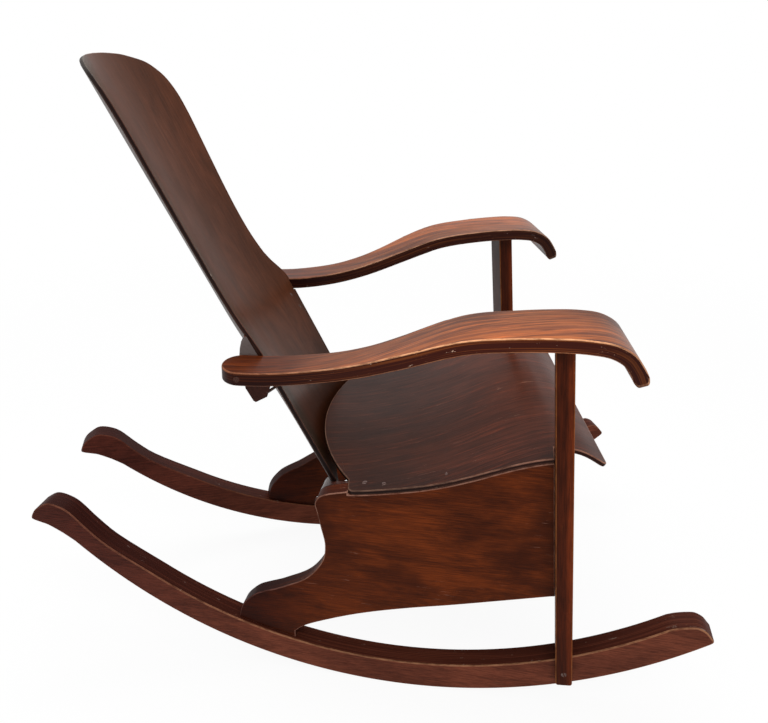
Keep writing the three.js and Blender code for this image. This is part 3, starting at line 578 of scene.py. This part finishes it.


# The posts are filtered darker over the rear of their depth, a painted shade, and much lighter toward the
# front face, a painted highlight.
post_wood = varnished(
    "post_wood", gloss=0.05, Light="#57240f", Dark="#2d1107", Sawn="#34120a", Worn="#b0703c",
    Streak_Width=2.0, Streaks=0.7, Figure=0.5, Pores=0.5, Blotches=0.4, Wear=0.6, Scratches=0.2,
    Ply=60.0, Ply_Contrast=0.0, Roughness=0.35,
    painted_light_tints=((into_board, -0.012, -0.019, (0.85, 0.8, 0.8), (1.9, 1.7, 1.4)),))
post_outline = [(post_foot, post_outer), (post_foot, -clearance), (post_step, -clearance),
                (post_step, post_inner), (post_head, post_inner), (post_head, post_outer)]
for side, word in sides:
    bar = slab(post_outline, 2 * post_half_depth, ease=1.3, noses=((post_foot, post_nose_radius),))
    for face in bar.faces:
        face[bar.faces.layers.float["sawn"]] = 0.0
    post = made(f"post_bar_{word}", bar, post_place(side), seed=2.9 + 0.8 * side)
    fitted(post, post_wood, f"front_post_{word}")

# Armrests: laminated boards, bent up in the middle and rolled down at the front, and wider there.
# The top veneer has a strong long grain, the sawn edges show the plies, and both are chipped.

arm_thickness = 17.6
arm_rear = -164
arm_length = 509.8
arm_low = 507
arm_rise = 74.8
arm_profile_shares = [
    (0, 0.032), (0.0665, 0.017), (0.125, 0.019), (0.2044, 0.064), (0.2829, 0.147), (0.3613, 0.283),
    (0.4398, 0.472), (0.518, 0.679), (0.559, 0.779), (0.5967, 0.853), (0.6375, 0.904), (0.6787, 0.936),
    (0.7532, 0.979), (0.8219, 0.999), (0.8709, 0.995), (0.92, 0.949), (0.9596, 0.809), (0.9827, 0.607),
    (0.9931, 0.468), (1, 0.354)]
arm_plan_rear = -160
arm_plan_inner = 160
arm_plan_length = 503
arm_plan_width = 153
arm_outer_shares = [
    (0.05, 0.382), (0.159, 0.41), (0.239, 0.434), (0.318, 0.488), (0.398, 0.561), (0.477, 0.652),
    (0.557, 0.722), (0.636, 0.774), (0.716, 0.82), (0.795, 0.867), (0.875, 0.918), (1, 1)]
arm_inner_shares = [
    (0.05, 0.013), (0.159, 0.035), (0.239, 0.065), (0.318, 0.108), (0.398, 0.142), (0.477, 0.157),
    (0.557, 0.16), (0.636, 0.17), (0.716, 0.202), (0.795, 0.222), (0.875, 0.238), (1.02, 0.265)]
arm_top_line = curve(shares(arm_profile_shares, arm_rear, arm_low, arm_length, arm_rise), steps=228)
arm_outer_line = curve(shares(arm_outer_shares, arm_plan_rear, arm_plan_inner, arm_plan_length,
                              arm_plan_width), steps=44)
arm_inner_line = curve(shares(arm_inner_shares, arm_plan_rear, arm_plan_inner, arm_plan_length,
                              arm_plan_width), steps=44)
arm_skew_rear = 0.24
arm_skew_loss = 0.17
arm_end_reach = 25
arm_end_front = -130
tip_inset = 0.01
arm_tip = arm_rear + arm_length - tip_inset
arm_nose_radius = 4.5
tip_margin = 4
tip_inner_step = 0.4
tip_outer_step = 1


def arm_skew(x):
    """How far forward the bends run for each millimetre inward. It is less toward the front."""
    return arm_skew_rear - arm_skew_loss * (x - arm_rear) / arm_length


def arm_unskewed(x, y):
    """The place along the bent profile of a point seen from above."""
    d = rocker_spread - y
    k = arm_skew_loss / arm_length
    return (x - (arm_skew_rear + k * arm_rear) * d) / (1 - k * d)


def arm_place(side):
    """Bends the board along its profile, and keeps its long edges on the plan where it rolls over."""
    def place(p):
        z, slope = line_at(arm_top_line, p.x)
        across = Vector((-slope, 0, 1)).normalized() * p.z
        x = p.x + across.x + arm_skew(p.x) * (rocker_spread - p.y)
        inner = line_at(arm_inner_line, x)
        outer = line_at(arm_outer_line, x)
        share = (p.y - inner[0]) / (outer[0] - inner[0])
        y = p.y + across.x * (inner[1] + (outer[1] - inner[1]) * share) * (x > arm_end_front)
        return Vector((x, side * y, z + across.z))
    return place


def arm_outline():
    """A round rear end, the inner edge, the square tip and the outer edge."""
    first_in, first_out = arm_inner_line[0], arm_outer_line[0]
    middle, half = (first_in[1] + first_out[1]) / 2, (first_out[1] - first_in[1]) / 2
    turns = [math.pi * (0.5 + i / 18) for i in range(19)]
    end = [(first_in[0] + arm_end_reach * math.cos(t), middle + half * math.sin(t)) for t in turns]
    inner = [(arm_unskewed(x, y), y) for x, y in end + arm_inner_line[1:]]
    outer = [(arm_unskewed(x, y), y) for x, y in arm_outer_line[:0:-1]]
    inner = [p for p in inner if p[0] < arm_tip - tip_margin]
    outer = [p for p in outer if p[0] < arm_tip - tip_margin]
    return inner + [(arm_tip, inner[-1][1] + tip_inner_step), (arm_tip, outer[0][1] + tip_outer_step)] + outer


# The arms are filtered darker and redder at the rear end, a painted shade from the back, darker and greyer on
# the rolled-down front, a painted shade, and darker over the inner part of their width with the outer front
# lighter and warmer, painted shade and a painted highlight.
arm_wood = varnished(
    "arm_wood", gloss=0.07, coat=0.035, Light="#a9622e", Dark="#5e2c13", Sawn="#38130a",
    Worn="#dba884", Streak_Width=7.0, Streaks_Along=6.0, Streaks=0.9, Figure=0.3, Pores=0.35,
    Blotches=0.3, Dark_Lines=0.9, Pale_Lines=0.6, Lines_Across=62.0, Wear=1.0, Chips=0.9,
    Scratches=0.4, Ply=1.35, Ply_Contrast=0.3, Roughness=0.32,
    painted_light_tints=((along_board, -0.12, 0.03, (0.5, 0.36, 0.29), (1, 0.97, 0.95)),
           (along_board, 0.27, 0.335, (1, 1, 1), (0.6, 0.62, 0.7)),
           (across_board, 0.19, 0.28, (0.56, 0.52, 0.53), (1.08, 0.95, 0.8))))
arm_cuts = ([arm_rear + arm_length * (i / 64) for i in range(1, 56)]
            + [arm_rear + arm_length * (1 - i / 128) for i in range(1, 18)])
for side, word in sides:
    board = slab(arm_outline(), arm_thickness, ease=1.5, noses=((arm_tip, arm_nose_radius),),
                 cuts_x=arm_cuts, cuts_y=spaced(first=185, gap=25, count=5))
    arm = made(f"arm_board_{word}", board, arm_place(side), seed=4.1 + 0.9 * side)
    fitted(arm, arm_wood, f"armrest_{word}")

# Back: one sheet of plywood curved round the sitter's back, with flared shoulders and a rounded top.
# It leans back between the panels' noses and the arms' rear ends, and is screwed from its face.

shell_radius = 315
shell_thickness = 5.5
shell_half_width = 165
shell_height = 673
step_half_width = 162.5
step_low = 237
step_high = 255.5
foot_push = 15
foot_push_end = 130
foot_push_fade = 190
recline = math.radians(25.2)
shell_foot = Vector((-43.2, 0, 256.2))
shell_up = Vector((-math.sin(recline), 0, math.cos(recline)))
shell_forward = Vector((math.cos(recline), 0, math.sin(recline)))
shell_shares = [
    (1, 0.379), (0.988, 0.398), (0.964, 0.416), (0.933, 0.434), (0.903, 0.452), (0.867, 0.484),
    (0.839, 0.536), (0.833, 0.594), (0.842, 0.654), (0.858, 0.713), (0.876, 0.773), (0.89, 0.826),
    (0.888, 0.875), (0.852, 0.915), (0.779, 0.944), (0.691, 0.963), (0.521, 0.982), (0.39, 0.991),
    (0.194, 0.998), (0, 1)]


def shell_place(p):
    """Up the sheet is p.x, across it p.y, and -p.z into it. Its foot is pushed forward in the middle."""
    t = min(max((p.x - foot_push_end) / foot_push_fade, 0), 1)
    push = foot_push * (1 - t * t * (3 - 2 * t)) * max(0, 1 - (p.y / shell_half_width) ** 2)
    forward = shell_radius - math.sqrt((shell_radius - p.z) ** 2 - p.y ** 2) + push
    place = shell_foot + shell_forward * forward + shell_up * p.x
    return Vector((place.x, p.y, place.z))


shell_edge = [(0, shell_half_width), (step_low, shell_half_width), (step_low, step_half_width),
              (step_high, step_half_width)]
shoulder = curve(shares(shell_shares, 0, 0, shell_half_width, shell_height), steps=90)
shell_edge += [(along, y) for y, along in shoulder[1:]]
shell_outline = shell_edge + [(x, -y) for x, y in shell_edge[-2::-1]]
back_slab = slab(shell_outline, shell_thickness, ease=1.3, cuts_x=spaced(first=16, gap=16, count=41),
                 cuts_y=spaced(first=-156, gap=12, count=27))
back = made("back_sheet", back_slab, shell_place, seed=7.3)
# The back is filtered darker toward its foot, a painted shade in the crease at the seat. A less red,
# grey-green band on its right side is a painted sheen, and its very dark sawn edge colour is a painted shade.
back_wood = varnished(
    "back_wood", gloss=0.08, coat=0.03, Light="#5c311e", Dark="#3c1e0f", Sawn="#1c0b07",
    Worn="#8a6a5c", Streak_Width=2.0, Streaks=0.4, Figure=0.3, Pores=0.3, Blotches=0.4,
    Dark_Lines=0.2, Wear=0.3, Chips=0.6, Scratches=0.2, Ply=1.4, Ply_Contrast=0.3, Roughness=0.36,
    painted_light_tints=((along_board, 0.03, 0.2, (0.36, 0.32, 0.3), (1, 1, 1)),
           (across_board, -0.15, -0.115, (0.9, 0.85, 0.85), (0.6, 0.98, 1.05)),
           (across_board, -0.07, -0.02, (1, 1, 1), (1.6, 1.02, 0.92))))
fitted(back, back_wood, "back_shell")

# Rails, arm brackets and corner blocks: sawn pieces that tie the sides together under the seat and
# carry the back, held by dowels and screws. They are stained nearly black. The brackets' end faces stand
# above the arms, where a grey sheen is painted on them, a painted reflection, and the blocks' tops shine a
# little.

painted_sheen_from = 0.503
painted_sheen_full = 0.512
rail_wood = varnished(
    "rail_wood", Light="#4a241b", Dark="#241009", Sawn="#241009", Worn="#8a6450", Streak_Width=3.0,
    Streaks=0.6, Figure=0.4, Pores=0.5, Blotches=0.4, Wear=0.3, Scratches=0.1, Ply=50.0,
    Ply_Contrast=0.0, Roughness=0.5)
tree = rail_wood.node_tree
shader = tree.nodes["Principled BSDF"]
stain = shader.inputs["Base Color"].links[0].from_socket
# A painted grey sheen, a painted reflection, on the brackets' end faces above the arms, speckled by a noise.
grain = attribute(tree, "grain", "Vector")
high = ranged(tree, apart(tree, grain)[2], painted_sheen_from, painted_sheen_full)
speck = ranged(tree, noise(tree, grain, 260.0, 4.0, 0.7), 0.2, 0.5, 0.6, 1.0)
painted_sheen = times(tree, times(tree, attribute(tree, "end"), high), speck)
fill(shader, Base_Color=mixed(tree, painted_sheen, stain, shade("#6c625f")),
     Coat_Weight=ranged(tree, attribute(tree, "upward"), 0.2, 0.7, 0.0, 0.5))


def merged_copy(node, within):
    """A copy of a frame node as a bmesh, merged, with its flat faces whole again."""
    work = bmesh.new()
    work.from_mesh(node.data)
    bmesh.ops.remove_doubles(work, verts=work.verts[:], dist=within)
    bmesh.ops.dissolve_limit(work, angle_limit=math.radians(1), verts=work.verts[:], edges=work.edges[:])
    return work


def eased_piece(name, work, width, least_angle):
    """The piece of a worked bmesh, with its arrises eased by a bevel."""
    mesh = bpy.data.meshes.new(name)
    work.to_mesh(mesh)
    work.free()
    mesh.shade_smooth()
    mesh.set_sharp_from_angle(angle=math.radians(30))
    piece = bpy.data.objects.new(name, mesh)
    bpy.context.scene.collection.objects.link(piece)
    ease = piece.modifiers.new("eased_arris", "BEVEL")
    ease.width = width * mm
    ease.segments = 2
    ease.limit_method = "ANGLE"
    ease.angle_limit = math.radians(least_angle)
    return piece


def sawn_piece(node, name):
    """A copy of a frame node with eased arrises, and with its upward faces and its ends marked."""
    work = merged_copy(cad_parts[node], within=0.05 * mm)
    for mark in ("arris", "sawn", "upward", "end"):
        work.faces.layers.float.new(mark)
    for face in work.faces:
        face[work.faces.layers.float["upward"]] = max(face.normal.z, 0.0)
        face[work.faces.layers.float["end"]] = float(abs(face.normal.y) > 0.9)
    piece = eased_piece(name, work, width=0.5, least_angle=40)
    grain = piece.data.attributes.new("grain", "FLOAT_VECTOR", "POINT")
    for i, v in enumerate(piece.data.vertices):
        grain.data[i].vector = (v.co.y, v.co.x + v.co.z, v.co.z)
    return piece


for node in ["front_seat_rail", "rear_seat_rail"] + [
        f"{kind}_{word}" for kind in ("arm_bracket", "back_block") for _, word in sides]:
    fitted(sawn_piece(node, f"{node}_eased"), rail_wood, node)

# Screws: slotted countersunk steel, dull and a little rusty, flush with the wood, and stained over in
# the arms. The dowels in the joints are plain turned beech, and can't be seen.

slot_half_width = 0.5
slot_depth = 1.1
slot_turn = 0.7
head_points = 10


def old_steel(name, clean, rusty):
    material, tree, shader = new_finish(name)
    rust = noise(tree, put(tree, "ShaderNodeTexCoord").outputs["Object"], 700.0, 4.0)
    color = mixed(tree, ranged(tree, rust, 0.4, 0.65), shade(clean), shade(rusty))
    fill(shader, Base_Color=color, Roughness=ranged(tree, rust, 0.4, 0.65, 0.45, 0.75), Metallic=0.35,
         Specular_IOR_Level=0.3)
    return material


steel = old_steel("screw_steel_dull", "#64504a", "#3c231b")
stained_steel = old_steel("screw_steel_stained", "#44261c", "#2a120b")
beech, tree, shader = new_finish("dowel_beech")
fleck = noise(tree, put(tree, "ShaderNodeTexCoord").outputs["Object"], 450.0, 5.0, 0.7)
fill(shader, Base_Color=mixed(tree, ranged(tree, fleck, 0.35, 0.7), shade("#b48a5c"), shade("#8e6238")),
     Roughness=0.7)


def slotted(node, name, turn):
    """A copy of a frame screw with a slot sunk across the top of its head."""
    work = merged_copy(node, within=0.02 * mm)
    top = max((f for f in work.faces if len(f.verts) > head_points), key=lambda f: f.calc_area())
    middle, up = top.calc_center_median(), top.normal.copy()
    across = Matrix.Rotation(turn, 3, up) @ up.orthogonal()

    def facing_up():
        return [f for f in work.faces if f.normal.dot(up) > 0.99]

    for way in (-slot_half_width, slot_half_width):
        faces = [f for f in facing_up() if abs((f.calc_center_median() - middle).dot(up)) < 1e-5]
        edges = list(dict.fromkeys(e for f in faces for e in f.edges))
        verts = list(dict.fromkeys(v for f in faces for v in f.verts))
        bmesh.ops.bisect_plane(work, geom=faces + edges + verts, plane_co=middle + across * (way * mm),
                               plane_no=across)
    strip = min(facing_up(), key=lambda f: (f.calc_center_median() - middle).length)
    sunk = bmesh.ops.extrude_face_region(work, geom=[strip])
    bmesh.ops.translate(work, verts=[v for v in sunk["geom"] if isinstance(v, bmesh.types.BMVert)],
                        vec=up * (-slot_depth * mm))
    return eased_piece(name, work, width=0.15, least_angle=30)


for k, (name, node) in enumerate(list(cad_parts.items())):
    if "screw" in name:
        finish = stained_steel if "arm_screw" in name else steel
        fitted(slotted(node, f"{name}_slotted", slot_turn * k), finish, name)
    if "dowel" in name:
        node.data.materials.clear()
        node.data.materials.append(beech)

# Floor, light and camera: plain white paper in a white studio, both seen brighter than the light that
# they give the chair, and two soft lamps. The camera stands where the photograph was taken from.

floor_half_size = 12000
camera_place = (33.0 + origin_shift, -1073.5, 898.8)
camera_tilt = 0.414
camera_roll = -0.012

floor_mesh = bmesh.new()
bmesh.ops.create_grid(floor_mesh, x_segments=1, y_segments=1, size=floor_half_size * mm)
mesh = bpy.data.meshes.new("floor")
floor_mesh.to_mesh(mesh)
floor_mesh.free()
floor = bpy.data.objects.new("floor", mesh)
bpy.context.scene.collection.objects.link(floor)


def seen_directly(tree):
    """One for camera, glossy and transmission rays, and nothing for the light that the chair gets."""
    path = tree.nodes.new("ShaderNodeLightPath").outputs
    glossy = math_node(tree, "MAXIMUM", path["Is Glossy Ray"], path["Is Transmission Ray"])
    return math_node(tree, "MAXIMUM", path["Is Camera Ray"], glossy)


paper, tree, shader = new_finish("floor_paper")
fill(shader, Base_Color=(0.85, 0.85, 0.85, 1), Roughness=1.0, Specular_IOR_Level=0.0)
white = put(tree, "ShaderNodeEmission", Color=(1, 1, 1, 1), Strength=1.0)
place = put(tree, "ShaderNodeTexCoord").outputs["Object"]
away = put(tree, "ShaderNodeVectorMath", {"operation": "LENGTH"}, i0=place).outputs["Value"]
whiteness = times(tree, seen_directly(tree), ranged(tree, away, 0.9, 2.6, 0.93, 1.0))
part_white = put(tree, "ShaderNodeMixShader", i0=whiteness, i1=shader.outputs[0], i2=white.outputs[0])
fill(tree.nodes["Material Output"], Surface=part_white.outputs[0])
floor.data.materials.append(paper)

world = bpy.data.worlds.new("studio")
bpy.context.scene.world = world
world.use_nodes = True
tree = world.node_tree
strength = ranged(tree, seen_directly(tree), 0.0, 1.0, 0.55, 1.0)
fill(tree.nodes["Background"], Color=(1, 1, 1, 1), Strength=strength)


def lamp(name, place, target, size, power):
    """A soft lamp, placed and sized in metres, that shines at its target."""
    light = bpy.data.lights.new(name, "AREA")
    light.shape = "RECTANGLE"
    light.size, light.size_y = size
    light.energy = power
    made_lamp = bpy.data.objects.new(name, light)
    made_lamp.location = place
    made_lamp.rotation_euler = (Vector(target) - Vector(place)).to_track_quat("-Z", "Y").to_euler()
    bpy.context.scene.collection.objects.link(made_lamp)


lamp("key_light", place=(0.6, -2.0, 2.4), target=(0, 0, 0.4), size=(1.6, 1.2), power=30)
lamp("top_light", place=(-0.3, 0.4, 2.6), target=(0, 0, 0.4), size=(1.8, 1.8), power=45)

camera = bpy.data.objects.new("camera", bpy.data.cameras.new("camera"))
camera.data.lens = 36
camera.data.sensor_width = 36
camera.data.clip_start = 0.05
camera.location = Vector(camera_place) * mm
camera.rotation_euler = (math.pi / 2 - camera_tilt, 0, camera_roll)
bpy.context.scene.collection.objects.link(camera)
bpy.context.scene.camera = camera
bpy.context.scene.view_settings.view_transform = "Standard"
